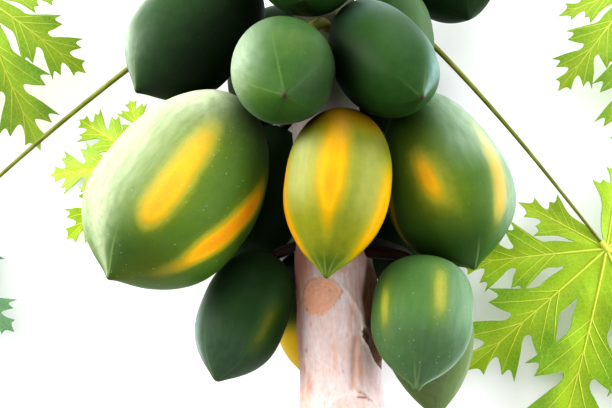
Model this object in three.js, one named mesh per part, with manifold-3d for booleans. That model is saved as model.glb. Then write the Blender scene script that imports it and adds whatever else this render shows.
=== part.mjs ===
// The fruiting top of a papaya tree, cut off below and above its fruit and laid on its back on
// level ground. Millimetres, +Z up. +Y runs up the trunk, and +X is to its right as seen from above.
// Places are first given in the trunk's frame, whose origin lies on the lower cut near its middle,
// and the whole piece is then set down with the middle of its footprint at the origin.
import * as THREE from "three";
import { mergeVertices } from "three/addons/utils/BufferGeometryUtils.js";
import Module from "manifold-3d";

const wasm = await Module();
wasm.setup();

// Driving dimensions
const CLEARANCE = 0.3; // between a stalk and what it carries
const GROUND = -160; // height of the ground, below the trunk's axis
const SAME_PLACE = 1e-4; // vertices nearer to each other than this are one

const TRUNK = {
  length: 700,
  radiusAtFoot: 51,
  radiusAtTop: 34,
  sides: 24,
  rings: 21,
  swelling: 0.02, // share of the radius by which the trunk bulges at each leaf scar
  swellingEvery: 82, // along the trunk
  footAside: 11, // place of the lower cut's middle along +X
  lean: -28, // drift of the axis along +X from the lower cut to the upper one
  straightening: 2.2, // how early along its length the trunk has made that drift
};

const FRUIT = {
  sides: 20,
  rings: 9,
  widestAt: 0.46, // share of the length, from the stalk
  shoulder: 2.4, // exponent of the profile between the stalk and the widest place
  fullness: 2.6, // the same from the widest place to the tip; a fruit may have its own of both
  flutes: 5,
  fluteDepth: 0.05, // share of the radius, at the tip
  fluteFade: 4, // how fast the flutes fade away from the tip
};

// The stalk that a fruit hangs by
const STALK = {
  sides: 8,
  rings: 4,
  radius: 5.5,
  flare: 1.6, // how much wider it is at the trunk
  rise: 16, // from the fruit's top to the height where it leaves the trunk
  reachIn: 14, // into the fruit, before it is cut to the fruit's shape
};

// The stalk of a leaf
const PETIOLE = {
  sides: 8,
  rings: 11,
  radiusAtTrunk: 7.5,
  radiusAtBlade: 3.4,
  flare: 1.8, // how much wider its foot is
  flareFade: 14, // how fast that foot narrows, along its whole length
};

const BLADE = {
  lobes: 9,
  lobeTurn: THREE.MathUtils.degToRad(36), // between neighbouring midribs
  shortening: 0.55, // of the outermost lobe against the middle one
  shorteningBend: 1.8, // how late that shortening comes, going out from the middle lobe
  webbing: 0.3, // share of a lobe that is joined to its neighbour
  droop: 1.7, // exponent by which the blade falls away from its hub
  fold: 0.16, // rise of the margin over the midrib
  thickness: 5.5,
  tipsAboveGround: 3,
  bossRadius: 6.5,
  bossLength: 12,
};

// Each fruit runs from its top, at the stalk, to its tip, in the trunk's frame. Its belly is how far
// its middle lies off that line, along +X and +Y. One that rests is moved up or down until it just
// bears on the ground. One whose stalk shows has its own height where that leaves the trunk, and the
// place it bends towards.
const FRUITS = [
  { name: "ripe_front", top: [7, 408, 104], tip: [-17, 218, 120], width: 119, fullness: 2.4 },
  {
    name: "big_left",
    top: [-117, 434, 33],
    tip: [-252, 218, 112],
    width: 184,
    fullness: 3.4,
    shoulder: 1.8,
    belly: [0, -10],
  },
  {
    name: "big_right",
    top: [88, 447, 38],
    tip: [155, 236, 44],
    width: 143,
    fullness: 2.2,
    shoulder: 1.7,
    belly: [9, -24],
  },
  { name: "low_left", top: [-82, 259, 8], tip: [-141, 110, 27], width: 104, fullness: 3.2 },
  {
    name: "low_right",
    top: [98, 248, 58],
    tip: [81, 99, 84],
    width: 114,
    fullness: 2.4,
    shoulder: 3.4,
  },
  { name: "low_right_rear", top: [103, 267, -60], tip: [118, 65, -42], width: 114, fullness: 2.2 },
  { name: "high_left", top: [-110, 602, 16], tip: [-241, 449, 34], width: 138, fullness: 3.5 },
  {
    name: "high_front",
    top: [-66, 484, 78],
    tip: [-60, 396, 204],
    width: 116,
    fullness: 2.3,
    stalkFrom: 524,
    stalkBend: [-2, 552, 88],
  },
  {
    name: "high_right",
    top: [16, 536, 54],
    tip: [83, 400, 182],
    width: 110,
    fullness: 2.5,
    shoulder: 2.1,
    belly: [0, -12],
  },
  { name: "top_front", top: [-32, 644, 70], tip: [-40, 516, 160], width: 130, fullness: 2.4 },
  { name: "top_right", top: [66, 592, -2], tip: [84, 456, 18], width: 88 },
  { name: "top_far_right", top: [133, 704, -88], tip: [171, 568, -44], width: 124 },
  { name: "ripe_rear", top: [-48, 276, -98], tip: [-6, 100, -118], width: 104, rests: true },
  { name: "rear_left", top: [-72, 438, -78], tip: [-130, 242, -100], width: 120, rests: true },
  { name: "rear_right", top: [62, 416, -80], tip: [72, 228, -108], width: 118, rests: true },
  { name: "rear_middle", top: [-9, 500, -84], tip: [-9, 370, -104], width: 70 },
  { name: "high_rear_left", top: [-64, 604, -78], tip: [-112, 434, -104], width: 108, rests: true },
  { name: "high_rear_right", top: [52, 576, -84], tip: [76, 428, -104], width: 104, rests: true },
];

// Each leaf: points of its stalk from the trunk to the blade, the way its middle lobe points (degrees
// from +X, counterclockwise), that lobe's length, and the stalk's girth where it isn't the usual one
const LEAVES = [
  {
    name: "right",
    path: [
      [-12, 612, -8],
      [54, 598, -42],
      [121, 540, -50],
      [218, 432, -60],
      [291, 342, -72],
      [336, 286, -82],
    ],
    girth: 0.7,
    heading: -67,
    lobe: 275,
  },
  {
    name: "left",
    path: [
      [-12, 622, -8],
      [-80, 622, -36],
      [-170, 578, -49],
      [-269, 498, -42],
      [-378, 408, -52],
      [-520, 285, -80],
    ],
    girth: 0.75,
    heading: -150,
    lobe: 230,
  },
  {
    name: "upper_left",
    path: [
      [-14, 662, 4],
      [-110, 694, 12],
      [-280, 684, 4],
      [-448, 604, -24],
    ],
    heading: -142,
    lobe: 234,
  },
  {
    name: "upper_right",
    path: [
      [-14, 672, 12],
      [50, 704, 24],
      [150, 712, 20],
      [262, 684, 4],
      [376, 612, -24],
    ],
    heading: -20,
    lobe: 225,
  },
  {
    name: "lower_left",
    path: [
      [-12, 640, -22],
      [-74, 650, -60],
      [-156, 584, -92],
      [-218, 462, -104],
      [-238, 402, -104],
    ],
    heading: -142,
    lobe: 150,
  },
];

const upTrunk = new THREE.Vector3(0, 1, 0);
const point = (xyz) => new THREE.Vector3(...xyz);

// Shapes

// The solid inside rings of points, closed at a start and an end point. Each ring turns
// counterclockwise as seen from the end.
function loft(rings, start, end) {
  const sides = rings[0].length;
  const points = [...rings.flat(), start, end];
  const [first, last] = [points.length - 2, points.length - 1];
  const lastRing = (rings.length - 1) * sides;
  const faces = [];
  for (let k = 0; k < sides; k++) {
    const next = (k + 1) % sides;
    for (let r = 0; r < lastRing; r += sides) {
      faces.push(r + k, r + next, r + next + sides, r + k, r + next + sides, r + k + sides);
    }
    faces.push(first, next, k, last, lastRing + k, lastRing + next);
  }
  return indexed(points, faces);
}

function indexed(points, faces) {
  const geometry = new THREE.BufferGeometry().setFromPoints(points);
  geometry.setIndex(faces);
  return geometry;
}

// A ring of points about a centre, across a direction; radius may depend on the angle.
function ring(centre, direction, sides, radius) {
  const side = new THREE.Vector3(1, 0, 0).addScaledVector(direction, -direction.x).normalize();
  const front = new THREE.Vector3().crossVectors(direction, side);
  return Array.from({ length: sides }, (_, k) => {
    const angle = (k / sides) * 2 * Math.PI;
    const r = typeof radius === "function" ? radius(angle) : radius;
    return centre
      .clone()
      .addScaledVector(side, r * Math.cos(angle))
      .addScaledVector(front, r * Math.sin(angle));
  });
}

// A round limb along a curve, its radius given along the curve from 0 to 1
function limb(curve, sides, steps, radius) {
  const rings = Array.from({ length: steps + 1 }, (_, i) => {
    const t = i / steps;
    return ring(curve.getPointAt(t), curve.getTangentAt(t), sides, radius(t));
  });
  return loft(rings, curve.getPointAt(0), curve.getPointAt(1));
}

function asSolid(geometry) {
  const bare = geometry.clone();
  bare.deleteAttribute("normal");
  bare.deleteAttribute("uv");
  const merged = mergeVertices(bare, SAME_PLACE);
  const mesh = new wasm.Mesh({
    numProp: 3,
    vertProperties: merged.attributes.position.array,
    triVerts: new Uint32Array(merged.index.array),
  });
  return new wasm.Manifold(mesh);
}

function asGeometry(solid) {
  const mesh = solid.getMesh();
  const places = new Float32Array(mesh.vertProperties);
  const geometry = new THREE.BufferGeometry();
  geometry.setAttribute("position", new THREE.BufferAttribute(places, 3));
  geometry.setIndex(new THREE.BufferAttribute(new Uint32Array(mesh.triVerts), 1));
  return geometry;
}

// Trunk

// The trunk's axis drifts aside near its foot and then runs straight.
function trunkCentre(y) {
  const drift = 1 - (1 - y / TRUNK.length) ** TRUNK.straightening;
  return new THREE.Vector3(TRUNK.footAside + TRUNK.lean * drift, y, 0);
}

function trunkRadius(y) {
  const taper = THREE.MathUtils.lerp(TRUNK.radiusAtFoot, TRUNK.radiusAtTop, y / TRUNK.length);
  return taper * (1 + TRUNK.swelling * Math.cos((y / TRUNK.swellingEvery) * 2 * Math.PI));
}

// The trunk as a solid, grown on all sides by a clearance where something else is cut to meet it
function trunk(extra = 0) {
  const rings = Array.from({ length: TRUNK.rings }, (_, i) => {
    const y = (i / (TRUNK.rings - 1)) * TRUNK.length;
    return ring(trunkCentre(y), upTrunk, TRUNK.sides, trunkRadius(y) + extra);
  });
  return loft(rings, trunkCentre(0), trunkCentre(TRUNK.length));
}

// Fruit

// Share of the full width at a share of the length from the stalk: blunt at the stalk, pointed at
// the tip
function fruitProfile(t, fullness, shoulder) {
  const { widestAt } = FRUIT;
  if (t < widestAt) return Math.sqrt(1 - (1 - t / widestAt) ** shoulder);
  return 1 - ((t - widestAt) / (1 - widestAt)) ** fullness;
}

function fruit({ top, tip, width, belly = [0, 0], ...own }, extra = 0) {
  const { fullness, shoulder } = { ...FRUIT, ...own };
  const axis = point(tip).sub(point(top));
  const length = axis.length();
  axis.normalize();
  const start = point(top).addScaledVector(axis, -extra);
  const end = point(tip).addScaledVector(axis, extra);
  const sideways = point([...belly, 0]);
  const rings = Array.from({ length: FRUIT.rings }, (_, i) => {
    const t = (1 - Math.cos(((i + 1) / (FRUIT.rings + 1)) * Math.PI)) / 2;
    const radius = (width / 2) * fruitProfile(t, fullness, shoulder);
    const deepest = FRUIT.fluteDepth * t ** FRUIT.fluteFade;
    const flute = (angle) => (deepest * (1 - Math.cos(FRUIT.flutes * angle))) / 2;
    const centre = point(top)
      .addScaledVector(axis, t * length)
      .addScaledVector(sideways, Math.sin(t * Math.PI));
    return ring(centre, axis, FRUIT.sides, (angle) => radius * (1 - flute(angle)) + extra);
  });
  return loft(rings, start, end);
}

// The same fruit, moved up or down to bear on the ground
function onGround(item) {
  if (!item.rests) return item;
  const geometry = fruit(item);
  geometry.computeBoundingBox();
  const drop = GROUND - geometry.boundingBox.min.z;
  const moved = ([x, y, z]) => [x, y, z + drop];
  return { ...item, top: moved(item.top), tip: moved(item.tip) };
}

// The stalk runs from the trunk, usually a little above the fruit, into the fruit's top, and is cut
// clear of both.
function fruitStalk(item) {
  const top = point(item.top);
  const inward = point(item.tip).sub(top).normalize();
  const usualHeight = Math.min(item.top[1] + STALK.rise, TRUNK.length - 2 * STALK.radius);
  const usualBend = top.clone().addScaledVector(inward, -STALK.rise / 2);
  const curve = new THREE.QuadraticBezierCurve3(
    trunkCentre(item.stalkFrom ?? usualHeight),
    item.stalkBend ? point(item.stalkBend) : usualBend,
    top.clone().addScaledVector(inward, STALK.reachIn),
  );
  const radius = (t) => STALK.radius * THREE.MathUtils.lerp(STALK.flare, 1, t);
  const whole = asSolid(limb(curve, STALK.sides, STALK.rings, radius));
  return whole.subtract(asSolid(trunk(CLEARANCE))).subtract(asSolid(fruit(item, CLEARANCE)));
}

// Leaves

const petioleCurve = (path) => new THREE.CatmullRomCurve3(path.map(point), false, "centripetal");

// The stalk of a leaf, from the trunk to the boss of its blade
function petiole({ path, girth = 1 }, extra = 0) {
  const whole = limb(petioleCurve(path), PETIOLE.sides, PETIOLE.rings, (t) => {
    const taper = THREE.MathUtils.lerp(PETIOLE.radiusAtTrunk, PETIOLE.radiusAtBlade, t);
    return girth * taper * (1 + (PETIOLE.flare - 1) * Math.exp(-t * PETIOLE.flareFade)) + extra;
  });
  return asSolid(whole).subtract(asSolid(trunk(CLEARANCE)));
}

// One side of a lobe, from its webbed foot to its tip: distance along the midrib and off it, as
// shares of the lobe's length
const LOBE_MARGIN = [
  [0.48, 0.14],
  [0.5, 0.07],
  [0.76, 0.22],
  [0.7, 0.08],
];
const SMALL_LOBE_MARGIN = [
  [0.5, 0.11],
  [0.76, 0.24],
  [0.72, 0.08],
];
const OUTERMOST_FOOT = [0.2, 0.1]; // where the margin of the first and last lobe starts, likewise
const MIDRIB = [0.36, 0.62, 0.83];

// The blade's outline and midribs in its own plane, hub at the origin and middle lobe along +X: the
// points, the polygons between them that fill it, and the points of its margin in order
function bladePlan(lobeLength) {
  const middle = (BLADE.lobes - 1) / 2;
  const lengthOf = (k) => {
    const outward = Math.abs(k / middle);
    return lobeLength * (1 - BLADE.shortening * outward ** BLADE.shorteningBend);
  };
  const points = [new THREE.Vector2(0, 0)];
  const polygons = [];
  const margin = [0];
  const add = (p) => points.push(p) - 1;
  const web = (k) => {
    const reach = BLADE.webbing * Math.min(lengthOf(k), lengthOf(k + 1));
    const turn = (k + 0.5) * BLADE.lobeTurn;
    return add(new THREE.Vector2(reach * Math.cos(turn), reach * Math.sin(turn)));
  };
  let foot = null;
  for (let k = -middle; k <= middle; k++) {
    const length = lengthOf(k);
    const turn = k * BLADE.lobeTurn;
    const place = ([along, aside]) => {
      const p = new THREE.Vector2(along * length, aside * length);
      return add(p.rotateAround(points[0], turn));
    };
    const shape = Math.abs(k) === middle ? SMALL_LOBE_MARGIN : LOBE_MARGIN;
    const before = foot ?? place([OUTERMOST_FOOT[0], -OUTERMOST_FOOT[1]]);
    const nearSide = shape.map(([along, aside]) => place([along, -aside]));
    const rib = MIDRIB.map((along) => place([along, 0]));
    const tip = place([1, 0]);
    const farSide = shape.map(place).reverse();
    const after = k < middle ? web(k) : place(OUTERMOST_FOOT);
    polygons.push([0, before, ...nearSide, tip, ...rib.toReversed()]);
    polygons.push([0, ...rib, tip, ...farSide, after]);
    margin.push(...(foot === null ? [before] : []), ...nearSide, tip, ...farSide, after);
    foot = after;
  }
  return { points, polygons, margin };
}

// Thin lobed sheet, arched over the ground like an umbrella, with the boss that the leaf's stalk
// meets
function blade(leaf) {
  const curve = petioleCurve(leaf.path);
  const hub = curve.getPointAt(1);
  const reach = curve.getTangentAt(1);
  hub.addScaledVector(reach, BLADE.bossLength);
  const { points, polygons, margin } = bladePlan(leaf.lobe);
  const fall = hub.z - GROUND - BLADE.tipsAboveGround - BLADE.thickness / 2;
  const heading = THREE.MathUtils.degToRad(leaf.heading);
  const height = (p) => BLADE.fold * offMidrib(p) - fall * (p.length() / leaf.lobe) ** BLADE.droop;
  const lifted = (half) =>
    points.map((p) => {
      const turned = p.clone().rotateAround(points[0], heading);
      return new THREE.Vector3(hub.x + turned.x, hub.y + turned.y, hub.z + height(p) + half);
    });
  const below = points.length;
  const faces = [];
  for (const polygon of polygons) {
    const outline = polygon.map((i) => points[i]);
    for (const [a, b, c] of THREE.ShapeUtils.triangulateShape(outline, [])) {
      const [i, j, k] = [polygon[a], polygon[b], polygon[c]];
      faces.push(i, j, k, below + i, below + k, below + j);
    }
  }
  margin.forEach((a, i) => {
    const b = margin[(i + 1) % margin.length];
    faces.push(a, below + a, below + b, a, below + b, b);
  });
  const sheet = indexed([...lifted(BLADE.thickness / 2), ...lifted(-BLADE.thickness / 2)], faces);
  const bossLine = new THREE.LineCurve3(
    curve.getPointAt(1).addScaledVector(reach, CLEARANCE),
    hub.clone().addScaledVector(reach, BLADE.bossLength / 2),
  );
  const boss = limb(bossLine, PETIOLE.sides, 1, () => BLADE.bossRadius);
  return asSolid(sheet).add(asSolid(boss)).subtract(petiole(leaf, CLEARANCE));
}

// Distance of a point of the blade's plan from the nearest midrib
function offMidrib(p) {
  const middle = (BLADE.lobes - 1) / 2;
  const turn = Math.atan2(p.y, p.x);
  const k = THREE.MathUtils.clamp(Math.round(turn / BLADE.lobeTurn), -middle, middle);
  return p.length() * Math.abs(Math.sin(turn - k * BLADE.lobeTurn));
}

// Colours

const BARK = new THREE.MeshStandardMaterial({ color: 0xc9b3a6, roughness: 0.85 });
const GREEN_RIND = new THREE.MeshStandardMaterial({ color: 0x3f6b3a, roughness: 0.45 });
const RIPE_RIND = new THREE.MeshStandardMaterial({ color: 0xd9a81c, roughness: 0.45 });
const STALK_SKIN = new THREE.MeshStandardMaterial({ color: 0x8b8f45, roughness: 0.7 });
const LEAF_SKIN = new THREE.MeshStandardMaterial({ color: 0x8fc31f, roughness: 0.6 });

// The whole piece

const plant = new THREE.Group();

function put(name, geometry, material) {
  const mesh = new THREE.Mesh(geometry, material);
  mesh.name = name;
  plant.add(mesh);
}

put("trunk", trunk(), BARK);
for (const item of FRUITS.map(onGround)) {
  put(`fruit_${item.name}`, fruit(item), item.name.startsWith("ripe") ? RIPE_RIND : GREEN_RIND);
  put(`fruit_stalk_${item.name}`, asGeometry(fruitStalk(item)), STALK_SKIN);
}
for (const leaf of LEAVES) {
  put(`leaf_stalk_${leaf.name}`, asGeometry(petiole(leaf)), STALK_SKIN);
  put(`leaf_blade_${leaf.name}`, asGeometry(blade(leaf)), LEAF_SKIN);
}

// Set down on the ground, the middle of its footprint at the origin
const bounds = new THREE.Box3().setFromObject(plant, true);
const middle = bounds.getCenter(new THREE.Vector3());
plant.position.set(-middle.x, -middle.y, -bounds.min.z);

export default plant;
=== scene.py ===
# A cut length of papaya trunk with its fruit and leaves, dressed for the render. Metres, in the
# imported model's frame: +Z up from the ground, +Y along the trunk towards the crown.
import math

import bpy
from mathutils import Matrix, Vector, noise


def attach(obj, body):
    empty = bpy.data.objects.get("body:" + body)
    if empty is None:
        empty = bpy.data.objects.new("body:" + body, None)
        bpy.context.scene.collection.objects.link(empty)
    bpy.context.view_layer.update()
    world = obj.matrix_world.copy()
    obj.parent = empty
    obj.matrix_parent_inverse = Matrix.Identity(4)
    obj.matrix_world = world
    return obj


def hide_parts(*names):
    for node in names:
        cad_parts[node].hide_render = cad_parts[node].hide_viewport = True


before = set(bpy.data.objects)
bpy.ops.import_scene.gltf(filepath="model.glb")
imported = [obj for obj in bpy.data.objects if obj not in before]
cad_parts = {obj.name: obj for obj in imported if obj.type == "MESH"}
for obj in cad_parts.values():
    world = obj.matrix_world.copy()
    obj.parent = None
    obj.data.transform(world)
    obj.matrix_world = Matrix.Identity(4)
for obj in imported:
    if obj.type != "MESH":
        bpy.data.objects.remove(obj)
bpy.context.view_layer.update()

MM = 0.001

# Camera
# The photograph looks level at a standing tree. This piece of it lies on its back, so the camera
# looks down, leaning 10 degrees from the trunk's foot, 1.25 m away, with the crown upwards.
CAMERA_TILT = math.radians(10)
CAMERA_DISTANCE = 1.25
CAMERA_AIM = Vector((-49.4, 320, 0)) * MM  # from the middle of the lower cut
PICTURE_PIXELS = 612
PIXEL_SIZE = 1.2 * MM  # at the trunk's axis
SENSOR_WIDTH = 36
SAME_HEIGHT = 0.1 * MM


def cut_ring(outermost):
    """Height, middle and radius of the ring at the trunk node's lowest or highest cut."""
    places = [vertex.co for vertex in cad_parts["trunk"].data.vertices]
    height = outermost(place.y for place in places)
    ring = [place for place in places if abs(place.y - height) < SAME_HEIGHT]
    middle = sum(ring, Vector()) / len(ring)
    return height, middle, max((place - middle).length for place in ring)


foot, foot_radius = cut_ring(min)[1:]  # the places on the plant are counted from the foot
aim = foot + CAMERA_AIM
towards_eye = Vector((0, -math.sin(CAMERA_TILT), math.cos(CAMERA_TILT)))
bpy.ops.object.camera_add(location=aim + towards_eye * CAMERA_DISTANCE, rotation=(CAMERA_TILT, 0, 0))
camera = bpy.context.object
camera.data.sensor_width = SENSOR_WIDTH
camera.data.lens = SENSOR_WIDTH * CAMERA_DISTANCE / (PICTURE_PIXELS * PIXEL_SIZE)
bpy.context.scene.camera = camera

# Floor and light
# A plain white floor under a bright white surround, with a large soft key from the upper left,
# where the sky lights the fruit in the photograph.
FLOOR_SIZE = 14
FLOOR_WHITE = (0.93, 0.93, 0.93, 1)
SURROUND_WHITE = (0.93, 0.96, 1.0, 1)
SURROUND_STRENGTH = 0.30


def new_material(name, roughness, specular):
    """A material of one shader, whose other sockets the caller fills."""
    material = bpy.data.materials.new(name)
    material.use_nodes = True
    shader = material.node_tree.nodes["Principled BSDF"]
    shader.inputs["Roughness"].default_value = roughness
    shader.inputs["Specular IOR Level"].default_value = specular
    return material, shader


bpy.ops.mesh.primitive_plane_add(size=FLOOR_SIZE)
floor = bpy.context.object
floor.name = "floor"
floor_paint, floor_shader = new_material("floor_paint", 0.9, 0.1)
floor_shader.inputs["Base Color"].default_value = FLOOR_WHITE
floor.data.materials.append(floor_paint)

surround = bpy.data.worlds.new("surround")
surround.use_nodes = True
background = surround.node_tree.nodes["Background"]
background.inputs["Color"].default_value = SURROUND_WHITE
background.inputs["Strength"].default_value = SURROUND_STRENGTH
bpy.context.scene.world = surround


def soft_light(name, place, size, power, tint):
    """A square lamp that faces the middle of the fruit."""
    facing = (-Vector(place)).to_track_quat("-Z", "Y").to_euler()
    bpy.ops.object.light_add(type="AREA", location=aim + Vector(place), rotation=facing)
    lamp = bpy.context.object
    lamp.name = name
    lamp.data.size = size
    lamp.data.energy = power
    lamp.data.color = tint


soft_light("key", (-2.7, 1.0, 1.1), 2.4, 218, (1.0, 0.99, 0.96))
soft_light("front_light", (-0.5, 0.3, 3.2), 2.0, 34, (1.0, 0.98, 0.97))
soft_light("crown_light", (0.5, 2.7, 1.4), 2.0, 80, (0.93, 0.96, 1.0))
soft_light("side_light", (2.7, 0.2, 1.0), 2.0, 120, (0.9, 0.95, 1.0))
soft_light("foot_light", (0.2, -2.6, 1.5), 2.0, 30, (1.0, 1.0, 1.0))
bpy.context.scene.view_settings.view_transform = "Standard"
bpy.context.scene.view_settings.look = "Medium High Contrast"

# Trunk
# A soft, fibrous stem in thin smooth bark, pinkish tan with lilac-white bloom. Each fallen leaf
# left a shield-shaped corky scar. The cut ends show pale fibre round a hollow heart.
TRUNK_SIDES = 240
TRUNK_CUTS = (18, 19)  # the wall is divided twice along its length
SWELLING = 0.02
SWELLING_EVERY = 82 * MM
STRAIGHTENING = 2.2
MM_PER_DEGREE = 0.82  # round the bark, from the front
NOISE_HEIGHT = 50  # mm up the bark that count for as much as the trunk's radius
# How crowded each wave of the bark is round it, its length up the bark in mm, and its relief in mm
BARK_WAVES = [(1.7, NOISE_HEIGHT / 1.7, 0.55), (14, 60, 0.3), (40, 14, 0.12)]
CRUMBS, FINE_CRUMBS, FINEST_CRUMBS = 22, 47, 60  # how crowded the bark's crumbs are
# The rim of a leaf scar, in mm from its middle
SHIELD = [(-29, -4), (-23, 7), (-15, 16), (-8, 20), (2, 22), (17, 19), (23, 14), (28, 6), (24, 0),
          (16, -10), (8, -18), (-2, -22), (-17, -17), (-26, -11)]
SHIELD_REACH = (32, 26)  # a scar shows no further from its middle
# Scars that the photograph shows: turn from the front, height in mm, size and strength. One with a
# size below 0 is mirrored.
SHIELDS = [(-25, 205, 1, 1), (14, 66, 1.25, 0.35), (-72, 84, -0.9, 0.3)]
# The other scars climb the trunk in a spiral, and leave out the window that the photograph shows.
SPIRAL_TURN = 137.5
SPIRAL_RISE = 27
SPIRAL_FOOT = 14
SPIRAL_COUNT = 26
SPIRAL_SIZE, SPIRAL_STRENGTH = 0.85, 0.6
SHOWN_WINDOW = (-115, 125, 30, 476)  # turns, then heights
MARKED_WINDOW = (-110, 110, 60, 306)  # where the marks that follow can reach
# Marks round the bark, each place as turn and height
RIM_LINES = [  # the soft rims of old scars, then how proud and how wide they stand
    ([(4, 219), (16, 212), (25, 201), (30, 195), (36, 185), (38, 172)], 1, 3.4),
    ([(-24, 78), (-17, 86), (-7, 92), (2, 94), (12, 96), (21, 94), (35, 92), (44, 86), (54, 76)],
     1.2, 1.8),
    ([(-62, 92), (-59, 100), (-45, 112), (-34, 119), (-26, 121)], 0.8, 1.6),
    ([(-64, 135), (-37, 136), (-21, 128), (-12, 124)], 0.6, 1.8),
]
PIT = [(37, 171), (33, 163), (37, 155), (44, 149), (49, 140), (57, 132), (75, 124), (88, 126),
       (86, 140), (78, 152), (66, 163), (52, 170)]
PIT_DEPTH = 7
PIT_DEEPENS, PIT_SHADE_DARKENS = (34, 58), (34, 60)  # mm round the bark, from its shallow edge to where it is deepest, and to where its painted shade is darkest
GROOVE = [(24, 158), (20, 143), (18, 128), (15, 111), (14, 104)]
GROOVE_WIDTH, GROOVE_DEPTH, GROOVE_RUST = 4.0, 1.1, 0.55
BUD_SCAR = [(12, 104), (20, 103), (30, 97), (38, 91), (30, 90), (18, 93)]
BUD_HEIGHT, BUD_COLOUR = 2.2, 0.45
# Cracks round the bud scar, sunk and painted dark: their own colour and painted shade in them
CRACKS = [([(18, 93), (26, 92), (30, 92)], 0.8), ([(33, 90), (39, 89)], 0.7),
          ([(20, 98), (29, 96)], 0.5)]  # each with its strength
CRACK_WIDTH, CRACK_DEPTH = 0.9, 1.5
PAINTED_SHADE_SIDE = (28, 37, 160, 172, 236, 276)  # painted shade down the side beside a fruit: mm round the bark from the front, then heights
PAINTED_SHADE_LEAN = (205, 0.3)  # above this height its edge draws back, by this much a mm
BULGES = [  # turn, height, half width and half height in mm, how proud
    (30 / MM_PER_DEGREE, 125, 9, 24, 1.6), (86, 142, 14, 16, 3), (84, 222, 16, 20, 6),
]
RUST_PATCHES = [  # turn, height, half width and half height in mm, strength
    (-62, 124, 4, 9, 0.8), (-50, 106, 5, 10, 0.7), (26, 124, 3, 20, 0.7), (42, 112, 8, 16, 0.2),
    (-55, 150, 6, 6, 0.3), (20, 186, 8, 10, 0.35), (2, 190, 4, 12, 0.25), (-76, 210, 14, 62, 1),
    (46, 262, 20, 34, 0.55), (-58, 244, 22, 48, 0.9), (-16, 272, 30, 24, 0.6),
    (-66, 160, 8, 60, 0.6), (8, 236, 20, 5, 0.35), (40, 216, 10, 26, 0.4),
]
SPECKS = [(-47, 191, 1.8), (-53, 145, 2.6), (2, 121, 1.2), (-9, 212, 1.6)]  # turn, height, size
SPECK_DARKNESS = 0.6
YOUNG_AND_SHADED = (385 * MM, 450 * MM)  # heights where the bark begins to be green and darkened with painted shade, and is fully so
CORNER_ANGLE = math.radians(50)  # the wall is smooth, and the cuts meet it in a sharp edge
CUT_STEPS = [(0.965, 0.3), (0.8, 0.9), (0.56, 0.2), (0.46, -3.5), (0.3, -11), (0.12, -13)]
CUT_DEPTHS = (10.05 * MM, 14.05 * MM)  # how far the cut wood reaches in at the foot and at the top

trunk_top, upper_middle, upper_radius = cut_ring(max)
trunk_length = trunk_top - foot.y
top_radius = upper_radius / (1 + SWELLING * math.cos(trunk_length / SWELLING_EVERY * 2 * math.pi))
foot_radius = foot_radius / (1 + SWELLING)


def trunk_middle(share):
    """The trunk's axis at a share of its length. It drifts aside near its foot."""
    drift = 1 - (1 - share) ** STRAIGHTENING
    aside = foot.x + (upper_middle.x - foot.x) * drift
    return Vector((aside, foot.y + share * trunk_length, foot.z))


def trunk_radius(share):
    """The trunk's plain radius, with its swelling at the scars."""
    taper = foot_radius + (top_radius - foot_radius) * share
    return taper * (1 + SWELLING * math.cos(share * trunk_length / SWELLING_EVERY * 2 * math.pi))


def smooth_step(low, high, value):
    """0 below low, 1 above high, and a soft rise between."""
    share = min(max((value - low) / (high - low), 0), 1)
    return share * share * (3 - 2 * share)


def bell(off, width):
    """1 where off is 0, falling away softly over a width."""
    return math.exp(-((off / width) ** 2))


def unrolled(points):
    """Places on the bark, given as turn and height, laid out flat in mm."""
    return [(turn * MM_PER_DEGREE, height) for turn, height in points]


def off_line(line, x, y):
    """How far a place is from a line of straight steps."""
    nearest = 1e9
    for (x_a, y_a), (x_b, y_b) in zip(line, line[1:]):
        along, across = x_b - x_a, y_b - y_a
        share = ((x - x_a) * along + (y - y_a) * across) / (along ** 2 + across ** 2)
        share = min(max(share, 0), 1)
        nearest = min(nearest, math.hypot(x - x_a - along * share, y - y_a - across * share))
    return nearest


def depth_in(outline, x, y):
    """How far a place lies inside a closed outline. Outside, it is below 0."""
    inside = False
    rim = outline + outline[:1]
    for (x_a, y_a), (x_b, y_b) in zip(rim, rim[1:]):
        if (y_a > y) != (y_b > y) and x < x_a + (y - y_a) / (y_b - y_a) * (x_b - x_a):
            inside = not inside
    return off_line(rim, x, y) * (1 if inside else -1)


def near_spot(x, y, turn, height, half_width, half_height):
    """1 at a spot on the bark, falling away softly over its half width and half height."""
    return bell(x - turn * MM_PER_DEGREE, half_width) * bell(y - height, half_height)


def spiral_shields():
    """The leaf scars of the plant's spiral, outside what the photograph shows."""
    left, right, low, high = SHOWN_WINDOW
    for step in range(SPIRAL_COUNT):
        height = SPIRAL_FOOT + step * SPIRAL_RISE
        turn = (step * SPIRAL_TURN + 180) % 360 - 180
        if not (left < turn < right and low < height < high):
            yield turn, height, SPIRAL_SIZE if step % 2 else -SPIRAL_SIZE, SPIRAL_STRENGTH


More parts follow.
